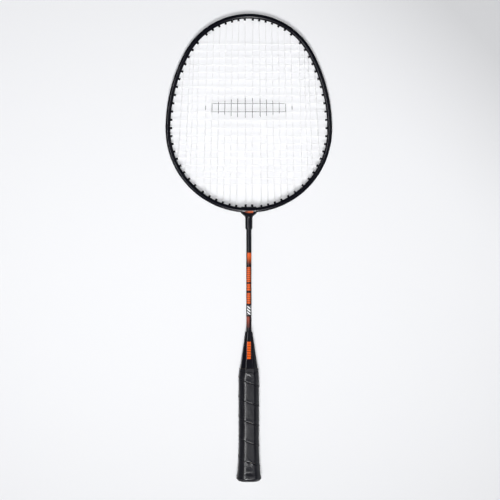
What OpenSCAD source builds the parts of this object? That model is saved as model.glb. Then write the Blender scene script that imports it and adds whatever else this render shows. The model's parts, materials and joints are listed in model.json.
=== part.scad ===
// Badminton racket: an oval tube head with its strings, a steel shaft and a wrapped wooden handle.
// The shaft lies along Y with the head at +Y, and the strings lie flat in the XY plane.
// The origin is the middle of the flat face at the butt's end. Sizes are in millimetres.

/* [Overall] */
// Length from the butt's face to the outside of the crown
racket_l = 645; // [620:1:680]

/* [Head tube] */
// Width of the head, over the tube
head_w = 230; // [210:1:236]
// Length of the head, over the tube
head_l = 274.4; // [262:0.1:290]
// How much smaller the crown's radius is than half the head's width
crown_tight = 15; // [11:0.5:22]
// Width of the tube, seen from above
tube_w = 6.8; // [6.4:0.1:8]
// Depth of the tube, along Z
tube_d = 9; // [8.2:0.1:11]
// Wall of the tube
tube_wall = 0.9; // [0.7:0.05:1.1]
// Width of the string groove round the outside
groove_w = 3.6; // [3.5:0.1:4.2]
// Depth of the string groove
groove_deep = 1.5; // [1.45:0.05:1.8]
// Gap between the two ends of the tube, inside the throat joint
tube_gap = 0.4; // [0.2:0.1:1]

/* [Strings] */
// Thickness of the string
string_d = 0.7; // [0.6:0.01:0.72]
// Air between the mains and the crosses where they pass
string_air = 0.02; // [0.01:0.01:0.05]
// Distance of the first main from the middle, at the crown
crown_main_x = 5.6; // [4:0.1:7]
// Spacing of the mains at the crown
crown_main_pitch = 8.9; // [8:0.1:9.4]
// Distance of the first main from the middle, at the throat
throat_main_x = 4.6; // [4.5:0.1:5]
// Distance of the second main from the middle, at the throat
base_main_x = 17.5; // [16:0.1:19]
// Spacing of the other mains at the throat
base_main_pitch = 9.3; // [8.4:0.1:9.6]
// Distance from the crown to the first cross
cross_crown = 39.9; // [38:0.1:46]
// Distance from the throat end of the head to the last cross
cross_throat = 37; // [35:0.1:44]
// How far the crosses close up towards both ends
cross_close = 3.5; // [0:0.1:6]
// How far the middle crosses sit towards the throat
cross_drop = 2; // [0:0.1:4]
// Thickness of a tie-off knot
knot_d = 1.8; // [1.4:0.1:2]
// Length of a tie-off knot
knot_l = 2.2; // [1.6:0.1:3]

/* [Grommets] */
// Bore of a grommet
grommet_bore = 1.6; // [1.5:0.05:1.8]
// Wall of a grommet
grommet_wall = 0.5; // [0.35:0.05:0.6]
// How far a grommet stands out inside the head
grommet_tip = 2.3; // [1:0.1:3]
// How far the two throat grommets stand out of the throat joint
throat_tip = 3.2; // [2:0.1:4]
// How much wider than its barrel a grommet's flange is, all round
flange_out = 0.3; // [0.2:0.05:0.4]
// Thickness of a grommet's flange
flange_t = 0.35; // [0.25:0.05:0.4]

/* [Throat joint] */
// Thickness of the moulded cover over the tube
cover_skin = 1.2; // [1:0.1:1.8]
// Width of the cover, across the shaft
cover_w = 21.9; // [20:0.1:26]
// Outer diameter of the cover's sleeve
sleeve_d = 9.9; // [9.4:0.1:12]
// Length of the sleeve, from the outside of the tube to its end
sleeve_l = 23.4; // [20:0.1:30]
// Radius of the hollow curve from the sleeve into the flare
neck_r = 5; // [3:0.1:7]
// Slope of the flare, away from the shaft's direction
neck_lean = 50; // [40:1:60]
// Width of the flare where it turns up into the cover
neck_w = 20.8; // [18:0.1:21.6]
// Length of the chamfer at the end of the sleeve
sleeve_bevel = 2.3; // [1:0.1:3]
// Wall that the chamfer leaves at the end of the sleeve
sleeve_lip = 0.5; // [0.4:0.05:0.9]
// Height of the string slots through the cover
slot_h = 2; // [1.8:0.1:2.4]
// Width of the metal core, from end to end of its arms
core_w = 28; // [24:0.1:31]
// Length of the core's stem below the tube
stem_l = 20; // [18:0.1:26]
// Diameter of the pin through the shaft and the stem
throat_pin_d = 1.6; // [1:0.1:2.4]
// Distance of that pin from the outside of the tube
throat_pin_y = 13; // [10:0.1:15]

/* [Shaft and cone] */
// Outer diameter of the shaft
shaft_d = 7; // [6.4:0.1:7.4]
// Wall of the shaft
shaft_wall = 0.8; // [0.5:0.05:1]
// Distance from the butt's face to the shaft's lower end
shaft_foot = 80; // [60:1:90]
// Length of the cone
cone_l = 50.5; // [44:0.1:60]
// Diameter of the cone's small end
cone_top_d = 9.8; // [9.2:0.1:12]
// Width of the cone's large end
cone_base_w = 23.5; // [22.6:0.1:25]
// Depth of the cone's large end, along Z
cone_base_t = 21.2; // [20.6:0.1:22.4]
// Wall of the cone
cone_wall = 1.4; // [1:0.1:2]
// Length of the wooden nose inside the cone
nose_l = 30; // [20:0.1:34]

/* [Handle] */
// Length of the wrap, from the butt's face to the band
grip_l = 150.4; // [130:0.1:175]
// Width of the grip
grip_w = 28; // [27:0.1:31]
// Depth of the grip, along Z
grip_t = 25; // [24.4:0.1:28]
// Width of the grip that each bevel takes
grip_bevel = 7.4; // [5:0.1:9]
// Thickness of the wrap
wrap_t = 2; // [1.2:0.1:2.4]
// Length of the taper at the wrap's top end
wrap_taper_l = 7; // [4:0.5:12]
// Depth of that taper
wrap_taper = 0.7; // [0.3:0.1:1]
// Distance from the butt's face to the top of the flare
flare_l = 42; // [34:0.5:56]
// Distance from the butt's face to the middle of the flare
flare_mid_l = 18; // [12:0.5:26]
// How much the flare adds to the grip's width there
flare_mid_out = 2.2; // [1:0.1:4]
// How much the rim adds to the grip's width
rim_out = 6.4; // [4.4:0.1:8]
// Distance from the butt's face to the rim
rim_y = 4.8; // [4:0.1:7]
// How far the rim turns in at its end, on each side
rim_turn = 3.6; // [2.4:0.1:4.4]
// How far the wrap's end stands back from the butt's face
wrap_back = 0.8; // [0.4:0.1:1.2]
// Length of the band that closes the wrap
band_l = 5.7; // [4:0.1:12]
// Thickness of the band
band_t = 0.75; // [0.4:0.05:1.2]

/* [Butt and fixings] */
// Thickness of the butt cap
cap_t = 1.8; // [1.4:0.1:2.6]
// Diameter of the cap's plug
plug_d = 6; // [4:0.1:8]
// Length of the cap's plug
plug_l = 9; // [5:0.1:14]
// Distance of each butt tack from the middle
tack_x = 7.5; // [6.6:0.1:8.4]
// Diameter of a tack's head
tack_head_d = 2.6; // [2:0.1:3.2]
// Thickness of a tack's head
tack_head_t = 0.5; // [0.3:0.1:0.8]
// Diameter of a tack's shank
tack_d = 1; // [0.8:0.1:1.4]
// Length of a tack
tack_l = 10; // [7:0.1:13]
// Distance from the butt's face to the tack that holds the wrap
wrap_tack_y = 14; // [11:0.5:16]
// Diameter of the pin through the handle and the shaft
handle_pin_d = 2; // [1.4:0.1:2.6]
// Distance of that pin from the shaft's lower end
handle_pin_up = 15; // [8:0.5:24]

/* [Fits] */
// Gap round a glued or pressed piece
fit_gap = 0.05; // [0.03:0.01:0.1]

/* [Hidden] */

// Facets of round things, of small round things and of the head's long arcs
$fn = 64;
small_fn = 32;
arc_fn = 240;
string_sides = 8;
// How far a cutter runs past what it cuts, and the thickness of a slice that hull() joins
past = 1;
slice = 0.1;

// The mains beyond the plain ones share the holes of these crosses, counted from the crown
CROSSES = 20;
PLAIN_MAINS = 7;
SHARED_TOP = [1, 2, 3, 5];
SHARED_BASE = [20, 19, 18, 16];
TAIL_CROSS = 17;
MAINS = PLAIN_MAINS + len(SHARED_TOP);

// Head outline: a crown arc, a flank arc on each side and a half circle at the throat.
// The flank's radius makes it run smoothly into both of the others.
half_w = head_w / 2;
crown_r = half_w - crown_tight;
upper_l = head_l - half_w;
flank_r = (half_w ^ 2 + (upper_l - crown_r) ^ 2 - crown_r ^ 2) / (2 * crown_tight);
flank_turn = atan2(flank_r - half_w, upper_l - crown_r);
crown_c = [0, racket_l - crown_r];
flank_c = crown_c + (crown_r - flank_r) * [sin(flank_turn), cos(flank_turn)];
base_c = [0, racket_l - upper_l];
throat_y = racket_l - head_l;

// Strings and grommets
string_r = string_d / 2;
main_z = string_r + string_air / 2;
cross_z = -main_z;
knot_r = knot_d / 2;
barrel_r = grommet_bore / 2 + grommet_wall;
flange_r = barrel_r + flange_out;
bend_out = 0.4;
// Depth of the outside loops' middle line, below the tube's outer face
loop_deep = string_r + 0.1;
mouth_deep = tube_w + grommet_tip + bend_out;
throat_mouth_deep = tube_w + cover_skin + throat_tip + bend_out;
cross_span = head_l - cross_crown - cross_throat;

// Throat, shaft and cone
shaft_r = shaft_d / 2;
shaft_bore_r = shaft_r - shaft_wall;
stem_r = shaft_bore_r - fit_gap;
sleeve_r = sleeve_d / 2;
// How much thinner than the collar the neck under it is, on each face
neck_in = 0.4;
shaft_top = throat_y - 0.3;
cone_y = grip_l + band_l;
nose_r = cone_base_t / 2 - cone_wall;
nose_top_r = cone_base_t / 2 + (cone_top_d - cone_base_t) / 2 * nose_l / cone_l - cone_wall;

// Handle
core_bevel = grip_bevel - (2 - sqrt(2)) * wrap_t;
core_t = grip_t - 2 * wrap_t;
core_w_mid = grip_w - 2 * wrap_t;
cap_grow = rim_out - 2 * rim_turn;
tack_sink = 0.1;
handle_pin_y = shaft_foot + handle_pin_up;

// ---- Holes in the head: [centre x, centre y, outer radius, angle], on the +X side ----

function crown_hole(x) = [crown_c.x, crown_c.y, crown_r, acos(x / (crown_r - tube_w))];
function base_hole(x) = [base_c.x, base_c.y, half_w, -acos(x / (half_w - tube_w))];
function arc_hole(c, r, y) = [c.x, c.y, r, asin((y - c.y) / (r - tube_w))];
function side_hole(y) =
    y > crown_c.y + (crown_r - tube_w) * cos(flank_turn) ? arc_hole(crown_c, crown_r, y)
    : y > base_c.y ? arc_hole(flank_c, flank_r, y)
    : arc_hole(base_c, half_w, y);

function cross_y(j) = let (t = (j - 1) / (CROSSES - 1))
    racket_l - cross_crown - cross_span * t + cross_close * sin(360 * t) - cross_drop * sin(180 * t);
function cross_hole(j) = side_hole(cross_y(j));
function main_top(i) = i < PLAIN_MAINS ? crown_hole(crown_main_x + i * crown_main_pitch)
    : cross_hole(SHARED_TOP[i - PLAIN_MAINS]);
function main_base(i) = i == 0 ? base_hole(throat_main_x)
    : i < PLAIN_MAINS ? base_hole(base_main_x + (i - 1) * base_main_pitch)
    : cross_hole(SHARED_BASE[i - PLAIN_MAINS]);
function is_shared(j) = len(search(j, concat(SHARED_TOP, SHARED_BASE))) > 0;

crown_holes = [for (i = [0:PLAIN_MAINS - 1]) main_top(i)];
base_holes = [for (i = [1:PLAIN_MAINS - 1]) main_base(i)];
throat_holes = [main_base(0)];
shared_holes = [for (j = [1:CROSSES]) if (is_shared(j)) cross_hole(j)];
side_holes = [for (j = [1:CROSSES]) if (!is_shared(j)) cross_hole(j)];
all_holes = concat(crown_holes, base_holes, throat_holes, shared_holes, side_holes);

// ---- String routes: the points of each string's middle line, from knot to knot ----

// A point of hole h, this deep below the tube's outer face, on the side of the head given by s
function hole_point(h, deep, s) =
    [s * (h[0] + (h[2] - deep) * cos(h[3])), h[1] + (h[2] - deep) * sin(h[3])];
// Out of the head through hole h: the bend at the grommet's mouth, then the turn into the groove
function way_out(h, s, deep = mouth_deep) = [hole_point(h, deep, s), hole_point(h, loop_deep, s)];
function reversed(v) = [for (i = [len(v) - 1:-1:0]) v[i]];
function joined(v) = [for (a = v) each a];

function main_run(i, s) = let (
    top = way_out(main_top(i), s),
    base = way_out(main_base(i), s, i == 0 ? throat_mouth_deep : mouth_deep))
    i % 2 == 0 ? concat(reversed(top), base) : concat(reversed(base), top);
function cross_run(j) = let (
    left = way_out(cross_hole(j), -1),
    right = way_out(cross_hole(j), 1))
    j % 2 == 1 ? concat(reversed(left), right) : concat(reversed(right), left);

// The tail beyond a last loop: in through hole h, then along the tube to the knot.
// turn is 1 towards the crown and -1 towards the throat.
function tail(h, s, turn) = let (
    mouth = hole_point(h, mouth_deep, s),
    along = turn * [-s * sin(h[3]), cos(h[3])])
    [hole_point(h, loop_deep, s), mouth, mouth + barrel_r * along,
        mouth + (barrel_r + slice) * along, mouth + (barrel_r + slice + knot_l) * along,
        mouth + (barrel_r + 2 * slice + knot_l) * along];
function knot_sizes(n) = [for (i = [0:n - 1]) i == n - 3 || i == n - 2 ? knot_r : string_r];
function half_sizes(n) = concat([for (i = [0:n - 7]) string_r], knot_sizes(6));

half_main = function (s) concat(joined([for (i = [0:MAINS - 1]) main_run(i, s)]),
    tail(cross_hole(TAIL_CROSS), s, -1));
main_route = concat(reversed(half_main(-1)), half_main(1));
main_sizes = let (n = len(half_main(1))) concat(reversed(half_sizes(n)), half_sizes(n));
cross_route = concat(reversed(tail(main_top(PLAIN_MAINS - 1), -1, 1)),
    joined([for (j = [1:CROSSES]) cross_run(j)]),
    tail(main_base(PLAIN_MAINS - 1), -1, -1));
cross_sizes = concat(reversed(knot_sizes(6)), [for (i = [1:4 * CROSSES]) string_r], knot_sizes(6));

// ---- Shared shapes ----

// A string swept along a flat route at height z, with its own radius at each point
module flat_cord(route, sizes, z) {
    n = len(route);
    unit = function (v) v / norm(v);
    ahead = function (i) unit(route[min(i + 1, n - 1)] - route[min(i, n - 2)]);
    points = [for (i = [0:n - 1])
        let (before = ahead(max(i - 1, 0)), after = ahead(i), way = unit(before + after))
        let (side = [-way.y, way.x] / (way * after))
        for (k = [0:string_sides - 1])
            let (a = 360 * (k + 0.5) / string_sides, flat = route[i] + side * sizes[i] * cos(a))
            [flat.x, flat.y, z + sizes[i] * sin(a)]];
    first = [for (k = [0:string_sides - 1]) k];
    last = [for (k = [string_sides - 1:-1:0]) (n - 1) * string_sides + k];
    sides = [for (i = [0:n - 2], k = [0:string_sides - 1])
        let (a = i * string_sides, b = a + string_sides, m = (k + 1) % string_sides)
        [a + k, b + k, b + m, a + m]];
    polyhedron(points, concat([first, last], sides));
}

// Place children at hole h, with local +X out of the head and the origin on the tube's outer face
module at_hole(h) {
    translate([h[0], h[1], 0]) rotate([0, 0, h[3]]) translate([h[2], 0, 0]) children();
}

// A round bar along local X, from one distance to another
module x_bar(from, to, r) {
    translate([from, 0, 0]) rotate([0, 90, 0]) cylinder(h = to - from, r = r, $fn = small_fn);
}

module both_sides() {
    children();
    mirror([1, 0, 0]) children();
}

// Place children's XY outline at y, with their Z along Y
module at_y(y) {
    translate([0, y, 0]) rotate([-90, 0, 0]) children();
}

module octagon(w, t, bevel) {
    x = w / 2;
    z = t / 2;
    polygon([[x, z - bevel], [x - bevel, z], [bevel - x, z], [-x, z - bevel],
        [-x, bevel - z], [bevel - x, -z], [x - bevel, -z], [x, bevel - z]]);
}

// Cross section of the head's tube, less `inset` all round, centred on the tube
module tube_outline(inset) {
    r = tube_w / 2 - inset;
    straight = tube_d - tube_w;
    square([2 * r, straight], center = true);
    translate([0, straight / 2]) circle(r);
    translate([0, -straight / 2]) circle(r);
}

module tube_hollow(inset) {
    intersection() {
        tube_outline(inset);
        translate([-tube_w, -tube_d])
            square([1.5 * tube_w - groove_deep - inset, 2 * tube_d]);
    }
}

module tube_section() {
    difference() {
        tube_outline(0);
        tube_hollow(tube_wall);
        translate([tube_w / 2 - groove_deep, -groove_w / 2]) square([groove_deep + past, groove_w]);
    }
}

// Sweep children's section along an arc whose outer radius is r
module arc(c, r, from, to) {
    translate([c.x, c.y, 0])
        rotate_extrude(angle = to - from, start = from, $fn = arc_fn)
            translate([r - tube_w / 2, 0]) children();
}

// An arc at the throat, as wide as `w` across the shaft
module throat_arc(w) {
    turn = asin(w / 2 / half_w);
    arc(base_c, half_w, -90 - turn, -90 + turn) children();
}

// ---- Handle outline: stations of [y, added width], as the wrap's outside ----

STATIONS = [[wrap_back, cap_grow], [rim_y, rim_out], [flare_mid_l, flare_mid_out], [flare_l, 0]];

function bevel_at(grow) = grip_bevel * (grip_w + grow) / grip_w;

module handle_slice(y, grow, inset) {
    bevel = bevel_at(grow) - (2 - sqrt(2)) * inset;
    at_y(y) linear_extrude(slice)
        octagon(grip_w + grow - 2 * inset, grip_t + grow - 2 * inset, bevel);
}

// The flared end of the handle, `inset` below the wrap's outside, from y = foot
module flare(inset, foot) {
    for (i = [0:len(STATIONS) - 2])
        hull() {
            handle_slice(i == 0 ? foot : STATIONS[i][0], STATIONS[i][1], inset);
            handle_slice(STATIONS[i + 1][0] - slice, STATIONS[i + 1][1], inset);
        }
}

module core_outline() {
    flare(wrap_t, cap_t);
    at_y(flare_l - slice) linear_extrude(cone_y - flare_l + slice)
        octagon(core_w_mid, core_t, core_bevel);
}

module cap_outline(gap) {
    grow = cap_grow - 2 * wrap_t + 2 * gap;
    octagon(grip_w + grow, grip_t + grow, bevel_at(cap_grow) - (2 - sqrt(2)) * wrap_t);
}

// A nail along local X, with its head's face at 0
module tack(gap) {
    x_bar(-tack_head_t - gap, gap, tack_head_d / 2 + gap);
    x_bar(-tack_l - gap, gap, tack_d / 2 + gap);
}

module at_butt_tacks() {
    both_sides() translate([tack_x, tack_sink, 0]) rotate([0, 0, -90]) children();
}

// The wrap's tack sits flush in the wood of the flare, on the +X side
module at_wrap_tack() {
    t = (wrap_tack_y - rim_y) / (flare_mid_l - rim_y);
    out = rim_out + (flare_mid_out - rim_out) * t;
    slope = atan2((rim_out - flare_mid_out) / 2, flare_mid_l - rim_y);
    translate([(grip_w + out) / 2 - wrap_t - fit_gap - tack_sink, wrap_tack_y, 0])
        rotate([0, 0, slope]) children();
}

// ---- Head ----

module head_frame() {
    color([0.07, 0.07, 0.08])
        difference() {
            union() {
                arc(crown_c, crown_r, 90 - flank_turn, 90 + flank_turn) tube_section();
                both_sides() arc(flank_c, flank_r, 0, 90 - flank_turn) tube_section();
                arc(base_c, half_w, 180, 360) tube_section();
            }
            both_sides() for (h = all_holes)
                at_hole(h) x_bar(-tube_w - past, past, barrel_r + fit_gap);
            translate([-tube_gap / 2, throat_y - past, -tube_d])
                cube([tube_gap, tube_w + 2 * past, 2 * tube_d]);
            at_y(throat_y - past) cylinder(h = tube_w / 2 + past, r = stem_r + fit_gap);
        }
}

module throat_core() {
    color([0.65, 0.66, 0.68])
        difference() {
            union() {
                throat_arc(core_w) tube_hollow(tube_wall + fit_gap);
                at_y(throat_y - stem_l) cylinder(h = stem_l + tube_w / 2, r = stem_r);
            }
            both_sides() for (h = throat_holes)
                at_hole(h) x_bar(-tube_w - past, past, barrel_r + fit_gap);
            throat_pin_hole();
        }
}

module throat_pin_hole() {
    translate([0, throat_y - throat_pin_y, -shaft_d])
        cylinder(h = 2 * shaft_d, r = throat_pin_d / 2 + fit_gap, $fn = small_fn);
}

// Half outline of the sleeve and the flare that joins it to the collar, from the sleeve's end.
// The hollow curve ends at `bend`, where the straight part of the flare begins.
module sleeve_profile() {
    bend = neck_r * [1 - cos(neck_lean), sin(neck_lean)];
    rise = bend.y + (neck_w / 2 - sleeve_r - bend.x) / tan(neck_lean);
    neck_h = sleeve_l - cover_skin - rise;
    top = rise + 3 / 2 * cover_skin;
    polygon([[0, 0], [shaft_r + sleeve_lip, 0], [sleeve_r, sleeve_bevel], [sleeve_r, neck_h], [0, neck_h]]);
    translate([0, neck_h]) difference() {
        polygon([[0, 0], [sleeve_r + neck_r, 0], [sleeve_r + bend.x, bend.y], [neck_w / 2, rise],
            [cover_w / 2 - neck_in, top], [0, top]]);
        translate([sleeve_r + neck_r, 0]) circle(neck_r);
    }
}

module throat_cover() {
    deep = tube_d + 2 * cover_skin;
    wide = tube_w + 2 * cover_skin;
    color([0.09, 0.09, 0.1])
        difference() {
            union() {
                throat_arc(cover_w) {
                    square([wide, deep - wide], center = true);
                    translate([0, (deep - wide) / 2]) circle(wide / 2);
                    translate([0, (wide - deep) / 2]) circle(wide / 2);
                }
                intersection() {
                    at_y(throat_y - sleeve_l) rotate_extrude() sleeve_profile();
                    translate([-cover_w / 2, throat_y - sleeve_l - past, neck_in - deep / 2])
                        cube([cover_w, 2 * sleeve_l, deep - 2 * neck_in]);
                }
            }
            throat_arc(cover_w + 2 * past) tube_outline(-fit_gap);
            at_y(throat_y - sleeve_l - past)
                cylinder(h = sleeve_l + 2 * past, r = shaft_r + fit_gap);
            both_sides() translate([shaft_r, throat_y - cover_skin - past, -slot_h / 2])
                cube([cover_w, 2 * cover_skin + past, slot_h]);
            both_sides() for (h = throat_holes)
                at_hole(h) x_bar(-2 * tube_w, -tube_w / 2, barrel_r + fit_gap);
        }
}

module throat_pin() {
    color([0.7, 0.7, 0.72])
        translate([0, throat_y - throat_pin_y, -shaft_r])
            cylinder(h = shaft_d, r = throat_pin_d / 2, $fn = small_fn);
}

// A grommet: a flange on the groove's floor and a barrel through the tube
module grommet(out) {
    difference() {
        union() {
            x_bar(-tube_w - out, -groove_deep + flange_t, barrel_r);
            x_bar(-groove_deep + fit_gap, -groove_deep + flange_t, flange_r);
        }
        x_bar(-tube_w - out - past, past, grommet_bore / 2);
    }
}

module grommets(holes, out = grommet_tip) {
    color([0.12, 0.12, 0.13]) for (h = holes) at_hole(h) grommet(out);
}

module crown_grommets() {
    both_sides() grommets(crown_holes);
}

module right_grommets() {
    grommets(side_holes);
}

module left_grommets() {
    mirror([1, 0, 0]) grommets(side_holes);
}

module shared_grommets() {
    both_sides() grommets(shared_holes);
}

module base_grommets() {
    both_sides() grommets(base_holes);
}

module throat_grommets() {
    both_sides() grommets(throat_holes, cover_skin + throat_tip);
}

module main_string() {
    color([0.93, 0.93, 0.95]) flat_cord(main_route, main_sizes, main_z);
}

module cross_string() {
    color([0.93, 0.93, 0.95]) flat_cord(cross_route, cross_sizes, cross_z);
}

// ---- Shaft and cone ----

module shaft() {
    color([0.08, 0.08, 0.09])
        difference() {
            at_y(shaft_foot) cylinder(h = shaft_top - shaft_foot, r = shaft_r);
            at_y(shaft_foot - past)
                cylinder(h = shaft_top - shaft_foot + 2 * past, r = shaft_bore_r);
            throat_pin_hole();
            handle_pin_hole();
        }
}

module cone() {
    color([0.08, 0.08, 0.09])
        difference() {
            hull() {
                at_y(cone_y) linear_extrude(slice)
                    octagon(cone_base_w, cone_base_t, bevel_at(cone_base_w - grip_w));
                at_y(cone_y + cone_l - slice) cylinder(h = slice, r = cone_top_d / 2, $fn = small_fn);
            }
            at_y(cone_y - past) cylinder(h = cone_l + 2 * past, r = shaft_r + fit_gap);
            nose(fit_gap);
        }
}

// ---- Handle ----

// The wooden nose inside the cone, or with a gap, the hollow that takes it
module nose(gap) {
    slope = (nose_r - nose_top_r) / nose_l;
    at_y(cone_y - past) cylinder(h = nose_l + past + gap, r1 = nose_r + slope * past + gap,
        r2 = nose_top_r - slope * gap + gap);
}

module handle_pin_hole() {
    translate([0, handle_pin_y, -grip_t])
        cylinder(h = 2 * grip_t, r = handle_pin_d / 2 + fit_gap, $fn = small_fn);
}

module handle_core() {
    color([0.78, 0.62, 0.42])
        difference() {
            union() {
                core_outline();
                nose(0);
            }
            at_y(shaft_foot - fit_gap) cylinder(h = racket_l, r = shaft_r + fit_gap);
            at_y(cap_t - past) cylinder(h = plug_l + past + fit_gap, r = plug_d / 2 + fit_gap);
            handle_pin_hole();
            at_butt_tacks() tack(fit_gap);
            at_wrap_tack() tack(fit_gap);
            at_wrap_tack() x_bar(-fit_gap, wrap_t, tack_head_d / 2 + fit_gap);
        }
}

module handle_pin() {
    color([0.7, 0.7, 0.72])
        translate([0, handle_pin_y, -core_t / 2])
            cylinder(h = core_t, r = handle_pin_d / 2, $fn = small_fn);
}

module grip_wrap() {
    color([0.1, 0.1, 0.11])
        difference() {
            union() {
                flare(0, wrap_back);
                at_y(flare_l - slice)
                    linear_extrude(grip_l - wrap_taper_l - flare_l + 2 * slice)
                        octagon(grip_w, grip_t, grip_bevel);
                hull() {
                    handle_slice(grip_l - wrap_taper_l, 0, 0);
                    handle_slice(grip_l - slice, -2 * wrap_taper, 0);
                }
            }
            core_outline();
            at_y(-past) linear_extrude(cap_t + 2 * past) cap_outline(fit_gap);
        }
}

module wrap_tack() {
    color([0.75, 0.75, 0.77]) at_wrap_tack() tack(0);
}

module grip_band() {
    color([0.13, 0.13, 0.14])
        at_y(grip_l) linear_extrude(band_l)
            difference() {
                octagon(core_w_mid + 2 * band_t, core_t + 2 * band_t,
                    core_bevel + (2 - sqrt(2)) * band_t);
                octagon(core_w_mid, core_t, core_bevel);
            }
}

module butt_cap() {
    color([0.1, 0.1, 0.11])
        difference() {
            union() {
                at_y(0) linear_extrude(cap_t) cap_outline(0);
                at_y(0) cylinder(h = cap_t + plug_l, r = plug_d / 2);
            }
            at_butt_tacks() tack(fit_gap);
            at_butt_tacks() x_bar(-fit_gap, past, tack_head_d / 2 + fit_gap);
        }
}

module butt_tacks() {
    color([0.75, 0.75, 0.77]) at_butt_tacks() tack(0);
}

head_frame();
throat_core();
throat_cover();
throat_pin();
crown_grommets();
left_grommets();
right_grommets();
shared_grommets();
base_grommets();
throat_grommets();
main_string();
cross_string();
shaft();
cone();
handle_core();
handle_pin();
grip_wrap();
wrap_tack();
grip_band();
butt_cap();
butt_tacks();
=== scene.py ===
import bpy
import bmesh
import json
from math import acos, asin, atan2, cos, exp, hypot, pi, radians, sin, sqrt, tan
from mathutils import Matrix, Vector, noise
from mathutils.bvhtree import BVHTree
from mathutils.kdtree import KDTree

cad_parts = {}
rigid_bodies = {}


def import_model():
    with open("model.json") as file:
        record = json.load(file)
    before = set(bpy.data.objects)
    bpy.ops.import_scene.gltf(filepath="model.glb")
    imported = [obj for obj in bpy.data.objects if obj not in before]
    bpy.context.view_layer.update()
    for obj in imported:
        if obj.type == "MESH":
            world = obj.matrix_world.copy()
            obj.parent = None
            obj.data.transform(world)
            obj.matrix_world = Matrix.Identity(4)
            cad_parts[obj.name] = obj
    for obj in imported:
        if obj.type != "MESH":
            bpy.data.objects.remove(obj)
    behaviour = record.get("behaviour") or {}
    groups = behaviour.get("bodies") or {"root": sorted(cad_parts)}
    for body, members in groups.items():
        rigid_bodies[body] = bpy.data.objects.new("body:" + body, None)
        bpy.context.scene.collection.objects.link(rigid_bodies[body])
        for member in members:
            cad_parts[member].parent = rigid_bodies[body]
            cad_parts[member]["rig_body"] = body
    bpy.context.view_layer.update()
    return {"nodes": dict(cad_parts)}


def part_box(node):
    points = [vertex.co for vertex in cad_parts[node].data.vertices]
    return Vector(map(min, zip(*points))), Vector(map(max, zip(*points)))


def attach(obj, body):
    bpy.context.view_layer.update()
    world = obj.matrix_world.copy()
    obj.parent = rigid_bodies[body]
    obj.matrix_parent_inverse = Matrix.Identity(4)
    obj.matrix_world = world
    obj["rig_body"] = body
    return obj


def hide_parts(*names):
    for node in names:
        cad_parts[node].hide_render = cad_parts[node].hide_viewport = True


# Badminton racket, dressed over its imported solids. Metres, butt at the origin, head towards +Y.

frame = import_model()
print("frame loaded,", len(frame["nodes"]), "solids")

# The camera looks straight down on the strings
view = {"width": 500, "height": 500, "lens": 208.9, "sensorWidth": 36.0,
        "shiftX": 0.0, "shiftY": 0.0, "place": (0.0016, 0.3192, 4.0), "turn": (0.0, 0.0, 0.0)}

# Where things show in the photograph, in its pixels from the top left
imagePoints = {
    "leftEdge": 165.4, "rightEdge": 332.3, "topEdge": 13.7, "bottomEdge": 482.0,
    "stringMark": (248.5, 107.0), "throatBar": (248.2, 212.0), "sleeveEnd": (248.7, 229.6),
    "fadingBlock": (249.2, 259.5), "longRow": (248.5, 274.6), "middleRow": (248.5, 287.3),
    "lowerRow": (248.5, 298.4), "whiteStripes": (248.8, 310.3), "redStreak": (248.0, 322.1),
    "coneRow": (248.9, 350.4), "gripBand": (248.9, 370.6), "firstSeam": (249.6, 383.1),
}

placed = {}  # where the marks and seams end up, by the name of their image point


def addCamera():
    bpy.ops.object.camera_add(location=view["place"], rotation=view["turn"])
    made = bpy.context.object
    made.data.lens = view["lens"]
    made.data.sensor_width = view["sensorWidth"]
    made.data.sensor_fit = "AUTO"
    made.data.shift_x, made.data.shift_y = view["shiftX"], view["shiftY"]
    bpy.context.scene.camera = made
    bpy.context.view_layer.update()
    return made


camera = addCamera()


def sightLine(point):
    reach = max(view["width"], view["height"])
    toward = Vector((point[0] - view["width"] / 2 + view["shiftX"] * reach,
                     view["height"] / 2 - point[1] + view["shiftY"] * reach,
                     -reach * view["lens"] / view["sensorWidth"]))
    return camera.matrix_world.translation, (camera.matrix_world.to_3x3() @ toward).normalized()


# A ray that misses takes the place nearest to it, tried at these heights either side of the shaft's line
nearRay = {"reach": 0.03, "step": 0.002}


# The place on a finished piece, or on a solid, that shows at an image point
def onSurface(point, carrier):
    tree = BVHTree.FromObject(carrier, bpy.context.evaluated_depsgraph_get())
    eye, toward = sightLine(point)
    hit = tree.ray_cast(eye, toward)[0]
    if hit is None:
        steps = range(round(2 * nearRay["reach"] / nearRay["step"]) + 1)
        tries = [tree.find_nearest(eye + toward * (eye.z + nearRay["reach"] - nearRay["step"] * step))
                 for step in steps]
        hit = min(tries, key=lambda found: found[3])[0]
    return hit


# The image point where a place shows
def seenAt(place):
    local = camera.matrix_world.inverted() @ Vector(place)
    reach = max(view["width"], view["height"])
    zoom = reach * view["lens"] / view["sensorWidth"] / -local.z
    return (view["width"] / 2 - view["shiftX"] * reach + local.x * zoom,
            view["height"] / 2 + view["shiftY"] * reach - local.y * zoom)


print("camera set")


# Selecting and editing, as by hand

def clearSelection():
    bpy.ops.object.select_all(action="DESELECT")
    bpy.context.view_layer.objects.active = None


def makeActive(piece):
    clearSelection()
    piece.select_set(True)
    bpy.context.view_layer.objects.active = piece


def startEdit():
    bpy.ops.object.mode_set(mode="EDIT")
    bpy.ops.mesh.select_mode(type="VERT")


def endEdit():
    bpy.ops.object.mode_set(mode="OBJECT")


# Moves the selected ring of points from its old places to the new ones
def moveRing(old, new):
    mesh = bpy.context.object.data
    shape = bmesh.from_edit_mesh(mesh)
    finder = KDTree(len(old))
    for number, place in enumerate(old):
        finder.insert(place, number)
    finder.balance()
    for vert in [vert for vert in shape.verts if vert.select]:
        vert.co = new[finder.find(vert.co)[1]]
    bmesh.update_edit_mesh(mesh)


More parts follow.
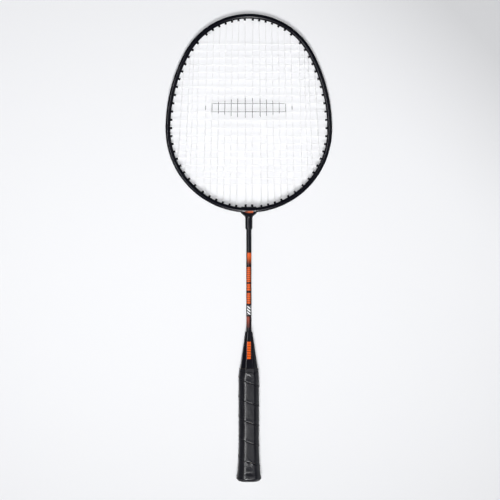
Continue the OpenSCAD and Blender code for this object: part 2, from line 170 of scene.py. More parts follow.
# A new piece in edit mode, with one closed ring of points in it
def startRing(name, ring):
    clearSelection()
    bpy.ops.mesh.primitive_circle_add(vertices=len(ring), radius=1.0, fill_type="NOTHING")
    piece = bpy.context.object
    piece.name = piece.data.name = name
    startEdit()
    bpy.ops.mesh.select_all(action="SELECT")
    shape = bmesh.from_edit_mesh(piece.data)
    shape.verts.ensure_lookup_table()
    for vert, place in zip(shape.verts, ring):
        vert.co = place
    bmesh.update_edit_mesh(piece.data)
    return piece


# A skin through rings of points, extruded ring by ring. ends is "fill", or "meet" for a shell
# that comes back to its start
def loft(name, rings, ends="fill"):
    piece = startRing(name, rings[0])
    if ends == "fill":
        bpy.ops.mesh.edge_face_add()
    for old, new in zip(rings, rings[1:]):
        bpy.ops.mesh.extrude_region_move()
        moveRing(old, new)
    closeShell()
    return piece


# Merges doubles and turns every face outwards, then leaves edit mode
def closeShell(gap=0.000001):
    bpy.ops.mesh.select_all(action="SELECT")
    bpy.ops.mesh.remove_doubles(threshold=gap)
    bpy.ops.mesh.normals_make_consistent(inside=False)
    endEdit()


# Starts editing a piece and cuts off what lies outside each plane, given as (place, outward)
def trimPiece(piece, planes):
    makeActive(piece)
    startEdit()
    for place, outward in planes:
        bpy.ops.mesh.select_all(action="SELECT")
        bpy.ops.mesh.bisect(plane_co=place, plane_no=outward, use_fill=True, clear_outer=True)


# Adds a modifier with its settings and applies it
def useModifier(piece, kind, settings):
    makeActive(piece)
    added = piece.modifiers.new(kind.title(), kind)
    for name, value in settings.items():
        setattr(added, name, value)
    bpy.ops.object.modifier_apply(modifier=added.name)


# Joins pieces into the first one and puts its place in its mesh
def joinPieces(name, pieces):
    makeActive(pieces[0])
    for piece in pieces:
        piece.select_set(True)
    bpy.ops.object.join()
    bpy.ops.object.transform_apply(location=True, rotation=True, scale=True)
    pieces[0].name = pieces[0].data.name = name
    return pieces[0]


# Smooths a piece, gives it its finish and hides the solids it stands for
def finishPiece(piece, finish, nodes, smooth):
    makeActive(piece)
    bpy.ops.object.shade_smooth_by_angle(angle=radians(smooth))
    piece.data.materials.clear()
    piece.data.materials.append(finish)
    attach(piece, "root")
    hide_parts(*nodes)
    print("made", piece.name, len(piece.data.polygons), "faces")


# A smooth value from a table of (place, value)
def readTable(table, place):
    if place <= table[0][0]:
        return table[0][1]
    if place >= table[-1][0]:
        return table[-1][1]
    number = next(n for n in range(len(table) - 1) if place < table[n + 1][0])
    (x0, y0), (x1, y1) = table[number], table[number + 1]
    before = table[max(number - 1, 0)]
    after = table[min(number + 2, len(table) - 1)]
    slope0 = (y1 - before[1]) / (x1 - before[0])
    slope1 = (after[1] - y0) / (after[0] - x0)
    t = (place - x0) / (x1 - x0)
    return ((2 * t**3 - 3 * t**2 + 1) * y0 + (t**3 - 2 * t**2 + t) * slope0 * (x1 - x0)
            + (3 * t**2 - 2 * t**3) * y1 + (t**3 - t**2) * slope1 * (x1 - x0))


# Shader maths: a Wire is one socket of a node, and sums of wires add their own nodes
class Wire:
    def __init__(self, tree, socket=None):
        self.tree = tree
        self.socket = socket

    def node(self, kind, settings={}, sockets={}, out=0):
        made = self.tree.nodes.new(kind)
        for name, value in settings.items():
            if name == "stops":
                for number, (place, colour) in enumerate(value):
                    ramp = made.color_ramp.elements
                    stop = ramp[number] if number < len(ramp) else ramp.new(place)
                    stop.position = place
                    stop.color = (*colour, 1.0)
            else:
                setattr(made, name, value)
        for name, value in sockets.items():
            if isinstance(value, Wire):
                self.tree.links.new(value.socket, made.inputs[name])
            else:
                made.inputs[name].default_value = value
        return Wire(self.tree, made.outputs[out] if len(made.outputs) else None)

    def math(self, operation, *values):
        return self.node("ShaderNodeMath", {"operation": operation}, dict(enumerate(values)))

    def __add__(self, other):
        return self.math("ADD", self, other)

    __radd__ = __add__

    def __sub__(self, other):
        return self.math("SUBTRACT", self, other)

    def __rsub__(self, other):
        return self.math("SUBTRACT", other, self)

    def __mul__(self, other):
        return self.math("MULTIPLY", self, other)

    __rmul__ = __mul__

    def __truediv__(self, other):
        return self.math("DIVIDE", self, other)

    def __abs__(self):
        return self.math("ABSOLUTE", self)

    # 0 below low and 1 above high, eased between; low above high turns it round
    def rise(self, low, high):
        eased = self.node("ShaderNodeMapRange", {"interpolation_type": "SMOOTHSTEP"},
                          {"Value": self, "From Min": min(low, high), "From Max": max(low, high)})
        return eased if low < high else 1 - eased

    # 1 between two values, with soft ends
    def between(self, low, high, soft):
        return self.rise(low - soft, low + soft) * self.rise(high + soft, high - soft)

    def wrapped(self, length):
        return self.math("FLOORED_MODULO", self, length)

    def mixed(self, first, second):
        return self.node("ShaderNodeMix", {"data_type": "RGBA"},
                         {0: self, 6: first if isinstance(first, Wire) else (*first, 1.0),
                          7: second if isinstance(second, Wire) else (*second, 1.0)}, 2)


# An empty material, a wire that starts its nodes, and the Object coordinates
def newMaterial(name):
    made = bpy.data.materials.new(name)
    made.use_nodes = True
    made.node_tree.nodes.clear()
    start = Wire(made.node_tree)
    return made, start, start.node("ShaderNodeTexCoord", out="Object")


def axes(start, place):
    return [start.node("ShaderNodeSeparateXYZ", sockets={0: place}, out=axis) for axis in "XYZ"]


def speckle(start, place, scale, detail=2.0, rough=0.5, stretch=(1.0, 1.0, 1.0)):
    if stretch != (1.0, 1.0, 1.0):
        place = start.node("ShaderNodeMapping", sockets={"Vector": place, "Scale": stretch})
    return start.node("ShaderNodeTexNoise", sockets={
        "Vector": place, "Scale": scale, "Detail": detail, "Roughness": rough})


# Closes a material. Its look holds what is the same all over: the least roughness, the bump's strength and
# depth, the specular level and the metal. Colour, more roughness and height vary over the surface.
def closeMaterial(made, start, look, colour, rougher, height):
    bump = start.node("ShaderNodeBump", sockets={"Strength": look["bump"], "Distance": look["deep"], "Height": height})
    shader = start.node("ShaderNodeBsdfPrincipled", sockets={
        "Base Color": colour, "Roughness": look["rough"] + rougher, "Normal": bump,
        "Specular IOR Level": look.get("specular", 0.5), "Metallic": look.get("metal", 0.0)})
    start.node("ShaderNodeOutputMaterial", sockets={"Surface": shader})
    return made


# Head outline: a crown arc, two flank arcs and a half circle at the throat
outline = {"crownTight": 0.015, "tubeWidth": 0.0068, "tubeDepth": 0.009,
           "grooveWidth": 0.0036, "grooveDepth": 0.0015, "wallTop": 13.5, "roundSteps": 17,
           "flankSteps": 32, "crownSteps": 96, "baseSteps": 108}
headLow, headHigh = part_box("head_frame")
halfWidth = headHigh.x
crownRadius = halfWidth - outline["crownTight"]
upperLength = headHigh.y - headLow.y - halfWidth
flankRadius = (halfWidth**2 + (upperLength - crownRadius)**2 - crownRadius**2) / (2 * outline["crownTight"])
flankTurn = atan2(flankRadius - halfWidth, upperLength - crownRadius)
crownMiddle = (0.0, headHigh.y - crownRadius)
flankMiddle = ((crownRadius - flankRadius) * sin(flankTurn),
               crownMiddle[1] + (crownRadius - flankRadius) * cos(flankTurn))
baseMiddle = (0.0, headHigh.y - upperLength)


# The tube's cross section, as (out from its middle line, up), once round: the groove's floor and its
# rolled lip, then the round of the tube from the lip to the inner side
def tubeSection():
    radius = outline["tubeWidth"] / 2
    straight = (outline["tubeDepth"] - outline["tubeWidth"]) / 2
    lip, floor = outline["grooveWidth"] / 2, radius - outline["grooveDepth"]
    half = [(floor, 0.0), (floor, lip - 0.00045), (floor + 0.00008, lip - 0.0002), (floor + 0.0003, lip - 0.00006),
            (radius - 0.0004, lip - 0.00003), (radius - 0.0002, lip - 0.00001)]
    for step in range(outline["roundSteps"] + 1):
        angle = radians(outline["wallTop"] + (180 - outline["wallTop"]) * step / outline["roundSteps"])
        half.append((radius * cos(angle), straight + radius * sin(angle)))
    half.append((-radius, 0.0))
    return half + [(out, -up) for out, up in half[-2:0:-1]]


def makeHeadFrame(finish):
    middleRadius = halfWidth - outline["tubeWidth"] / 2
    piece = startRing("headFrame", [Vector((middleRadius + out, baseMiddle[1], up)) for out, up in tubeSection()])
    quarter = pi / 2 - flankTurn
    arcs = [(flankMiddle, quarter, outline["flankSteps"]), (crownMiddle, 2 * flankTurn, outline["crownSteps"]),
            ((-flankMiddle[0], flankMiddle[1]), quarter, outline["flankSteps"]), (baseMiddle, pi, outline["baseSteps"])]
    for middle, turn, steps in arcs:
        bpy.ops.mesh.spin(steps=steps, angle=-turn, center=(*middle, 0.0), axis=(0.0, 0.0, 1.0))
    closeShell(gap=0.00002)
    finishPiece(piece, finish, ["head_frame"], smooth=35)
    return piece


# Holes in the head: (middle x, middle y, outer radius, angle), on the +X side
strings = {"thickness": 0.0007, "air": 0.00002, "crosses": 20, "plainMains": 7,
           "sharedTop": (1, 2, 3, 5), "sharedBase": (20, 19, 18, 16), "tailCross": 17,
           "crownMainX": 0.0056, "crownMainPitch": 0.0089, "throatMainX": 0.0046,
           "baseMainX": 0.0175, "baseMainPitch": 0.0093, "crossCrown": 0.0399, "crossThroat": 0.037,
           "crossClose": 0.0035, "crossDrop": 0.002, "sunk": 0.0001, "clear": 0.001, "bend": 0.0008,
           "bendShare": 2.2, "easeSteps": 4, "shortRun": 0.002, "knotLength": 0.0022, "knotGap": 0.0002,
           "knotLead": 0.0003, "knotSteps": 31, "knotTurn": 10, "knotGrow": 4, "knotBack": 0.4, "roundness": 2}
grommets = {"bore": 0.0016, "barrelRadius": 0.00152, "flangeRadius": 0.0016, "flange": 0.00035,
            "tip": 0.0025, "throatTip": 0.0045, "bendOut": 0.0004, "sides": 20}


def crownHole(x):
    return (*crownMiddle, crownRadius, acos(x / (crownRadius - outline["tubeWidth"])))


def baseHole(x):
    return (*baseMiddle, halfWidth, -acos(x / (halfWidth - outline["tubeWidth"])))


def sideHole(y):
    if y > crownMiddle[1] + (crownRadius - outline["tubeWidth"]) * cos(flankTurn):
        middle, radius = crownMiddle, crownRadius
    elif y > baseMiddle[1]:
        middle, radius = flankMiddle, flankRadius
    else:
        middle, radius = baseMiddle, halfWidth
    return (*middle, radius, asin((y - middle[1]) / (radius - outline["tubeWidth"])))


def crossHole(number):
    t = (number - 1) / (strings["crosses"] - 1)
    span = headHigh.y - headLow.y - strings["crossCrown"] - strings["crossThroat"]
    return sideHole(headHigh.y - strings["crossCrown"] - span * t
                    + strings["crossClose"] * sin(2 * pi * t) - strings["crossDrop"] * sin(pi * t))


def topHole(number):
    if number < strings["plainMains"]:
        return crownHole(strings["crownMainX"] + number * strings["crownMainPitch"])
    return crossHole(strings["sharedTop"][number - strings["plainMains"]])


def footHole(number):
    if number == 0:
        return baseHole(strings["throatMainX"])
    if number < strings["plainMains"]:
        return baseHole(strings["baseMainX"] + (number - 1) * strings["baseMainPitch"])
    return crossHole(strings["sharedBase"][number - strings["plainMains"]])


# The place in a hole that lies deep below the head's outline
def holePoint(hole, deep, side):
    return (side * (hole[0] + (hole[2] - deep) * cos(hole[3])), hole[1] + (hole[2] - deep) * sin(hole[3]))


# One grommet along X, its outer end at the tube's face, as a closed profile spun round
def makeGrommet(tip):
    bore, barrel, flange = grommets["bore"] / 2, grommets["barrelRadius"], grommets["flangeRadius"]
    top = -outline["grooveDepth"] + grommets["flange"]
    foot = top - grommets["flange"] + 0.00005
    end = -outline["tubeWidth"] - tip
    profile = [(top, bore + 0.00015), (top, flange - 0.0001), (top - 0.0001, flange), (foot, flange),
               (foot, barrel), (end + 0.0005, barrel - 0.00005), (end + 0.0002, barrel - 0.0001),
               (end + 0.00005, barrel - 0.00022), (end, barrel - 0.0004), (end + 0.00008, bore + 0.00005),
               (end + 0.0003, bore), (top - 0.0002, bore)]
    piece = startRing("grommet", [Vector((along, out, 0.0)) for along, out in profile])
    bpy.ops.mesh.spin(steps=grommets["sides"], angle=2 * pi, center=(0.0, 0.0, 0.0), axis=(1.0, 0.0, 0.0))
    closeShell(gap=0.000002)
    return piece


# A row of grommets as one piece, each a copy of the first with its own mesh
def makeGrommetRow(name, node, places, finish):
    first = makeGrommet(grommets["throatTip" if node == "throat_grommets" else "tip"])
    row = []
    for hole, side in places:
        copy = first.copy()
        copy.data = first.data.copy()
        bpy.context.scene.collection.objects.link(copy)
        copy.location = (*holePoint(hole, 0.0, side), 0.0)
        copy.rotation_euler.z = hole[3] if side > 0 else pi - hole[3]
        row.append(copy)
    bpy.data.objects.remove(first)
    piece = joinPieces(name, row)
    finishPiece(piece, finish, [node], smooth=50)
    return piece


def makeGrommets(finish):
    shared = [n for n in range(1, strings["crosses"] + 1) if n in strings["sharedTop"] + strings["sharedBase"]]
    plain = [n for n in range(1, strings["crosses"] + 1) if n not in shared]
    mains = range(strings["plainMains"])
    rows = [("crownGrommets", "crown_grommets", [(topHole(n), side) for n in mains for side in (-1, 1)]),
            ("leftGrommets", "left_grommets", [(crossHole(n), -1) for n in plain]),
            ("rightGrommets", "right_grommets", [(crossHole(n), 1) for n in plain]),
            ("sharedGrommets", "shared_grommets", [(crossHole(n), side) for n in shared for side in (-1, 1)]),
            ("baseGrommets", "base_grommets", [(footHole(n), side) for n in mains[1:] for side in (-1, 1)]),
            ("throatGrommets", "throat_grommets", [(footHole(0), side) for side in (-1, 1)])]
    return [makeGrommetRow(name, node, places, finish) for name, node, places in rows]


# The two strings, woven: each is one length that runs through every hole in turn
weave = strings["thickness"] / 2 + strings["air"] / 2
loopDeep = strings["thickness"] / 2 + strings["sunk"]
mouthDeep = outline["tubeWidth"] + grommets["tip"] + grommets["bendOut"]
throatMouthDeep = outline["tubeWidth"] + grommets["throatTip"] + grommets["bendOut"]


# Where a main comes out of its two grommets
def mainEnds(number, side):
    deep = throatMouthDeep if number == 0 else mouthDeep
    return holePoint(topHole(number), mouthDeep, side), holePoint(footHole(number), deep, side)


# Where a main and a cross meet, as points of a route: (x, y, height, whether it bends there). Level is the
# string's own height where it passes over the other. Nothing is given where they don't meet.
def crossing(number, side, cross, level):
    top, foot = mainEnds(number, side)
    edge, y = holePoint(crossHole(cross), mouthDeep, 1)
    x = top[0] + (foot[0] - top[0]) * (top[1] - y) / (top[1] - foot[1])
    clear = strings["clear"]
    if not (foot[1] + clear < y < top[1] - clear and abs(x) < edge - clear):
        return []
    order = number if side > 0 else -1 - number
    return [(x, y, level if (order + cross) % 2 == 0 else -level, False)]


# A main's run, top to base: its loop in the groove, its bends and its crossings
def mainRun(number, side):
    top, foot = mainEnds(number, side)
    run = [(*holePoint(topHole(number), loopDeep, side), weave, True), (*top, weave, True)]
    for cross in range(1, strings["crosses"] + 1):
        run += crossing(number, side, cross, weave)
    return run + [(*foot, weave, True), (*holePoint(footHole(number), loopDeep, side), weave, True)]


# A cross's run, left to right
def crossRun(cross):
    edge, y = holePoint(crossHole(cross), mouthDeep, 1)
    run = [(*holePoint(crossHole(cross), loopDeep, -1), -weave, True), (-edge, y, -weave, True)]
    numbers = range(strings["plainMains"] + len(strings["sharedTop"]))
    for number, side in [(n, -1) for n in reversed(numbers)] + [(n, 1) for n in numbers]:
        run += crossing(number, side, cross, -weave)
    return run + [(edge, y, -weave, True), (*holePoint(crossHole(cross), loopDeep, 1), -weave, True)]


# Behind the last loop: in through the hole and along the tube, then wound back round itself as a knot
def knotTail(hole, side, turn, height):
    mouth = Vector((*holePoint(hole, mouthDeep, side), height))
    along = Vector((-side * turn * sin(hole[3]), turn * cos(hole[3]), 0.0))
    across = Vector((-along.y, along.x, 0.0))
    tail = [(*holePoint(hole, loopDeep, side), height, True), (*mouth, True)]
    first = mouth + along * (grommets["barrelRadius"] + strings["knotGap"])
    last = first + along * strings["knotLength"]
    tail += [(*first, False), (*(last + along * strings["knotLead"]), False)]
    for step in range(1, strings["knotSteps"] + 1):
        angle = 2 * pi * step / strings["knotTurn"]
        out = strings["thickness"] * min(1.0, step / strings["knotGrow"])
        place = last - along * (strings["thickness"] * (angle / (2 * pi) - strings["knotBack"])) \
            + (across * cos(angle) + Vector((0.0, 0.0, 1.0)) * sin(angle)) * out
        tail.append((*place, False))
    return tail


# Rounds the bends of a route and eases it over and under between crossings
def easedRoute(route):
    steps = strings["easeSteps"]
    places = [Vector(point[:3]) for point in route]
    eased = [places[0]]
    for number in range(1, len(places)):
        here, before = places[number], places[number - 1]
        if route[number][3] and number < len(places) - 1:
            after = places[number + 1]
            longest = min((here - before).length, (after - here).length) / strings["bendShare"]
            size = min(strings["bend"], longest)
            enter = here + (before - here).normalized() * size
            leave = here + (after - here).normalized() * size
            eased += [enter.lerp(here, t).lerp(here.lerp(leave, t), t) for t in (0.0, 0.25, 0.5, 0.75, 1.0)]
        elif (here - before).length < strings["shortRun"]:
            eased.append(here)
        else:
            start = eased[-1]
            for step in range(1, steps + 1):
                t = step / steps
                place = start.lerp(here, t)
                place.z = start.z + (here.z - start.z) * (0.5 - 0.5 * cos(pi * t))
                eased.append(place)
    return eased


# One string: a round line along its route, made a mesh
def makeString(name, route, finish, node):
    clearSelection()
    bpy.ops.curve.primitive_nurbs_path_add()
    piece = bpy.context.object
    line = piece.data
    line.splines.clear()
    spline = line.splines.new("POLY")
    spline.points.add(len(route) - 1)
    for point, place in zip(spline.points, route):
        point.co = (*place, 1.0)
    line.dimensions = "3D"
    line.bevel_depth = strings["thickness"] / 2
    line.bevel_resolution = strings["roundness"]
    line.use_fill_caps = True
    bpy.ops.object.convert(target="MESH")
    piece = bpy.context.object
    piece.name = piece.data.name = name
    startEdit()
    closeShell(gap=0.0000005)
    finishPiece(piece, finish, [node], smooth=60)
    return piece


def makeStrings(finish):
    halves = {}
    for side in (-1, 1):
        half = []
        for number in range(strings["plainMains"] + len(strings["sharedTop"])):
            run = mainRun(number, side)
            half += run if number % 2 == 0 else run[::-1]
        halves[side] = half + knotTail(crossHole(strings["tailCross"]), side, -1, weave)
    mains = halves[-1][::-1] + halves[1]
    crosses = knotTail(topHole(strings["plainMains"] - 1), -1, 1, -weave)[::-1]
    for cross in range(1, strings["crosses"] + 1):
        run = crossRun(cross)
        crosses += run if cross % 2 == 1 else run[::-1]
    crosses += knotTail(footHole(strings["plainMains"] - 1), -1, -1, -weave)
    return (makeString("mainString", easedRoute(mains), finish, "main_string"),
            makeString("crossString", easedRoute(crosses), finish, "cross_string"))


# Rings about the shaft's line, through a profile of (out, y)
def roundRings(profile, sides):
    return [[Vector((out * cos(2 * pi * n / sides), y, out * sin(2 * pi * n / sides))) for n in range(sides)]
            for out, y in profile]


# Throat cover: a collar on the tube, a flared neck and a sleeve on the shaft, moulded as one
cover = {"skin": 0.0012, "width": 0.0219, "sleeveRadius": 0.00495, "sleeveLength": 0.0234, "neckRadius": 0.005,
         "lean": radians(50), "neckWidth": 0.0208, "bevel": 0.0023, "lip": 0.0005, "neckIn": 0.0004,
         "neckSteps": (0.15, 0.3, 0.45, 0.6, 0.75, 0.9, 1.0), "sides": 36, "rings": 12, "neckSides": 64,
         "voxel": 0.00028}
shaftRadius = 0.0035


def makeThroatCover(finish):
    middle = halfWidth - outline["tubeWidth"] / 2
    radius = outline["tubeWidth"] / 2 + cover["skin"]
    straight = (outline["tubeDepth"] - outline["tubeWidth"]) / 2
    turn = asin(cover["width"] / 2 / halfWidth)
    section = [(radius * cos(a), (straight if sin(a) > 0 else -straight) + radius * sin(a))
               for a in [2 * pi * (n + 0.5) / cover["sides"] for n in range(cover["sides"])]]
    rings = []
    for step in range(cover["rings"] + 1):
        angle = -pi / 2 - turn + 2 * turn * step / cover["rings"]
        rings.append([Vector((baseMiddle[0] + (middle + out) * cos(angle),
                              baseMiddle[1] + (middle + out) * sin(angle), up)) for out, up in section])
    collar = loft("collar", rings)
    low = headLow.y - cover["sleeveLength"]
    sleeve, neck, lean = cover["sleeveRadius"], cover["neckRadius"], cover["lean"]
    corner = (cover["neckWidth"] / 2, headLow.y - cover["skin"])
    high = corner[1] - neck * sin(lean) - (corner[0] - sleeve - neck * (1 - cos(lean))) / tan(lean)
    profile = [(shaftRadius + cover["lip"], low), (sleeve, low + cover["bevel"]), (sleeve, high)]
    profile += [(sleeve + neck * (1 - cos(lean * t)), high + neck * sin(lean * t)) for t in cover["neckSteps"]]
    profile += [corner, (cover["width"] / 2 - cover["neckIn"], headLow.y + cover["skin"] / 2)]
    flared = loft("neck", roundRings(profile, cover["neckSides"]))
    slab = outline["tubeDepth"] / 2 + cover["skin"] - cover["neckIn"]
    trimPiece(flared, [((0.0, 0.0, way * slab), (0.0, 0.0, way)) for way in (-1, 1)])
    closeShell()
    piece = joinPieces("throatCover", [collar, flared])
    useModifier(piece, "REMESH", {"mode": "VOXEL", "voxel_size": cover["voxel"], "use_smooth_shade": True})
    useModifier(piece, "SMOOTH", {"factor": 0.5, "iterations": 4})
    finishPiece(piece, finish, ["throat_cover"], smooth=60)
    return piece


# Shaft: a thin tube with eased ends
shaft = {"wall": 0.0008, "ease": 0.00015, "sides": 48, "rings": 12}


def makeShaft(finish):
    low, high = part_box("shaft")
    out, bore, ease = shaftRadius, shaftRadius - shaft["wall"], shaft["ease"]
    profile = [(out - ease, low.y), (out, low.y + ease)]
    profile += [(out, low.y + (high.y - low.y) * step / shaft["rings"]) for step in range(1, shaft["rings"])]
    profile += [(out, high.y - ease), (out - ease, high.y), (bore, high.y), (bore, low.y), (out - ease, low.y)]
    piece = loft("steelShaft", roundRings(profile, shaft["sides"]), "meet")
    finishPiece(piece, finish, ["shaft"], smooth=40)
    return piece


# The handle's outline: eight flats, as in the photograph turned a little to the right. The corners are numbers
# for how sharp they are: soft on the wrap, nearly sharp on what fits against another piece.
grip = {"width": 0.028, "thickness": 0.025, "bevel": 0.0074, "turn": radians(-7.5),
        "corner": 14, "coneCorner": 40, "bandCorner": 70, "sharpCorner": 200, "fineSides": 192,
        "wrap": 0.002, "bandOut": 0.00075, "blunt": 0.3}

# Width added along the handle, as (distance from the butt, added), outside the wrap and at the wood
flare = [(0.0008, -0.0008), (0.0016, 0.0012), (0.0026, 0.0036), (0.0037, 0.0055), (0.0049, 0.0063), (0.0066, 0.0056),
         (0.0102, 0.0041), (0.0157, 0.0029), (0.0213, 0.0019), (0.0268, 0.0013), (0.033, 0.0009), (0.043, 0.0004),
         (0.056, 0.0), (0.1434, 0.0), (0.1504, -0.0012)]
woodFlare = [(0.0018, -0.0008), (0.0048, 0.0064), (0.018, 0.0022), (0.042, 0.0)]


# How far the eight-sided outline reaches at an angle
def gripReach(angle, wide, thick, bevel, corner):
    total = 0.0
    slant = (wide / 2 + thick / 2 - bevel) / sqrt(2)
    for number in range(8):
        reach = (wide / 2, slant, thick / 2, slant)[number % 4]
        lean = cos(angle - number * pi / 4)
        if lean > 0:
            total += (lean * wide / 2 / reach)**corner
    return wide / 2 * total**(-1 / corner)


def gripRing(y, wide, thick, bevel, corner, sides):
    ring = []
    for number in range(sides):
        angle = 2 * pi * (number + 0.5) / sides
        reach = gripReach(angle - grip["turn"], wide, thick, bevel, corner)
        ring.append(Vector((reach * cos(angle), y, reach * sin(angle))))
    return ring


# Cone: a shell from the eight-sided handle to the round shaft, hollow round the wood's nose
cone = {"topRadius": 0.0049, "width": 0.0235, "thickness": 0.0212, "nose": 0.03, "shoulder": 0.0022,
        "shoulderIn": 0.0009, "footEase": 0.0003, "fit": 0.00005, "hollowTop": 0.0058, "hollowFoot": 0.0092,
        "rings": 14, "shoulderSteps": 5, "sides": 64}


def makeCone(finish):
    low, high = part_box("cone")
    length = high.y - low.y
    bevel = grip["bevel"] * cone["width"] / grip["width"]

    def ring(y, shrink):
        t = (y - low.y) / length
        places = gripRing(y, cone["width"], cone["thickness"], bevel, grip["coneCorner"], cone["sides"])
        for place in places:
            out = hypot(place.x, place.z)
            scale = (1 - t + cone["topRadius"] * t / out) * (1 - shrink / out)
            place.x, place.z = place.x * scale, place.z * scale
        return places

    rings = [ring(low.y, cone["footEase"]), ring(low.y + cone["footEase"], 0.0)]
    rings += [ring(low.y + length * step / cone["rings"], 0.0) for step in range(1, cone["rings"] - 1)]
    for step in range(cone["shoulderSteps"] + 1):
        angle = pi / 2 * step / cone["shoulderSteps"]
        rings.append(ring(high.y - cone["shoulder"] * (1 - sin(angle)), cone["shoulderIn"] * (1 - cos(angle))))
    bore = shaftRadius + cone["fit"]
    noseTop = low.y + cone["nose"]
    inner = [(bore, high.y - 2 * cone["fit"]), (bore, noseTop), (cone["hollowTop"], noseTop - 2 * cone["fit"]),
             (cone["hollowFoot"], low.y)]
    rings += roundRings(inner, cone["sides"])
    piece = loft("coneShell", rings + [rings[0]], "meet")
    finishPiece(piece, finish, ["cone"], smooth=30)
    return piece


# Wrap: a strip with a raised lower edge, wound up the handle from the butt
strip = {"pitch": 0.0273, "turnSteps": 120, "flatSteps": 20, "below": 0.045, "drum": 0.01, "underside": 0.0005,
         "swell": (0.00009, 110), "ripple": (0.00005, 320), "folds": (0.00022, 130), "foldsY": 0.02,
         "foldsReach": 0.018, "creaseRadius": 0.0135, "upperEdge": 0.003}


# The strip's section as (along the handle, up from the wood), once round
def stripSection(pitch):
    steps = strip["flatSteps"]
    edge = [(0.0001, 0.0012), (0.0001, 0.0018), (0.0003, 0.0022), (0.0007, 0.0024), (0.0013, 0.00242),
            (0.0021, 0.0023), (0.0031, 0.00215), (0.0042, 0.00205)]
    first, last = edge[-1][0], pitch - strip["upperEdge"]
    flat = [(first + (last - first) * step / steps, grip["wrap"]) for step in range(1, steps + 1)]
    end = [(pitch - back, up) for back, up in ((0.002, 0.00196), (0.0011, 0.0019), (0.0005, 0.00178),
                                               (0.0001, 0.0015), (0.00002, 0.0012), (0.00002, 0.0))]
    return edge + flat + end + [(pitch * step / steps, 0.0) for step in range(steps - 1, 0, -1)] + [(0.0001, 0.0)]


# Creases near the butt and the band, as (y, angle, rise, length, slant, half width)
creases = [(0.0083, 95, 0.0005, 0.026, 0.06, 0.0011), (0.0125, 80, -0.0003, 0.02, -0.05, 0.0012),
           (0.0265, 99, 0.0006, 0.007, 0.9, 0.0013), (0.0275, 78, 0.0006, 0.009, 1.1, 0.0013),
           (0.0235, 86, -0.0004, 0.008, 1.2, 0.0012), (0.1495, 94, 0.0011, 0.011, 0.0, 0.003),
           (0.1452, 84, -0.0004, 0.006, 0.5, 0.0012)]


# How far the leather stands out at a place: uneven all over, folded round the flare, and the creases
def wrinkle(angle, y, place):
    rise = sum(height * noise.noise(place * waves) for height, waves in (strip["swell"], strip["ripple"]))
    height, waves = strip["folds"]
    near = exp(-((y - strip["foldsY"]) / strip["foldsReach"])**2)
    rise += near * height * noise.noise(Vector((place.x, 2 * place.y, place.z)) * waves)
    for at, turn, height, length, slant, wide in creases:
        away = (angle - radians(turn)) * strip["creaseRadius"]
        rise += height * exp(-((y - at - slant * away) / wide)**2 - (away / (length / 2))**2)
    return rise


# Wound on a round drum first, then pressed on to the handle's outline: the outside follows the flare and its
# creases, and the underside follows the wood
def makeGripWrap(finish):
    low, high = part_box("grip_wrap")
    placed["firstSeam"] = seam = onSurface(imagePoints["firstSeam"], frame["nodes"]["grip_wrap"])
    pitch, drum = strip["pitch"], strip["drum"]
    start = seam.y - pitch * atan2(seam.z, seam.x) / (2 * pi)
    start -= pitch * int((start + strip["below"]) / pitch)
    piece = startRing("gripWrap", [Vector((drum + up, start + along, 0.0)) for along, up in stripSection(pitch)])
    endEdit()
    turns = int((high.y - start) / pitch) + 2
    useModifier(piece, "SCREW", {"axis": "Y", "angle": -2 * pi, "screw_offset": pitch, "iterations": turns,
                                 "steps": strip["turnSteps"], "render_steps": strip["turnSteps"]})
    for vert in piece.data.vertices:
        angle, up = atan2(vert.co.z, vert.co.x), hypot(vert.co.x, vert.co.z) - drum
        y = min(max(vert.co.y, low.y), high.y)
        outside = up > strip["underside"]
        grow = readTable(flare if outside else woodFlare, y)
        inset = 0.0 if outside else grip["wrap"]
        bevel = grip["bevel"] * (grip["width"] + grow) / grip["width"] - (2 - sqrt(2)) * inset
        reach = gripReach(angle - grip["turn"], grip["width"] + grow - 2 * inset, grip["thickness"] + grow - 2 * inset,
                          bevel, grip["corner" if outside else "sharpCorner"])
        if outside:
            reach += (up - grip["wrap"]) + wrinkle(angle, y, vert.co)
        vert.co = (reach * cos(angle), vert.co.y, reach * sin(angle))
    trimPiece(piece, [((0.0, y, 0.0), (0.0, way, 0.0)) for y, way in ((low.y, -1.0), (high.y, 1.0))])
    closeShell(gap=0.0000005)
    finishPiece(piece, finish, ["grip_wrap"], smooth=50)
    return piece


# Band: two turns of thin tape over the wrap's end, as (part of its height, part of its thickness)
bandTurns = [(0.0, 0.6), (0.03, 0.9), (0.1, 1.0), (0.3, 1.02), (0.47, 1.0), (0.52, 0.72),
             (0.6, 0.78), (0.8, 0.8), (0.95, 0.8), (0.99, 0.76), (1.0, 0.68)]


def makeGripBand(finish):
    low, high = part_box("grip_band")
    wide, thick = grip["width"] - 2 * grip["wrap"], grip["thickness"] - 2 * grip["wrap"]
    bevel = grip["bevel"] - (2 - sqrt(2)) * grip["wrap"]
    rings = []
    for t, out in bandTurns:
        more = 2 * grip["bandOut"] * out
        rings.append(gripRing(low.y + (high.y - low.y) * t, wide + more, thick + more, bevel + grip["blunt"] * more,
                              grip["bandCorner"], grip["fineSides"]))
    rings += [gripRing(y, wide, thick, bevel, grip["sharpCorner"], grip["fineSides"]) for y in (high.y, low.y)]
    piece = loft("gripBand", rings + [rings[0]], "meet")
    finishPiece(piece, finish, ["grip_band"], smooth=35)
    return piece


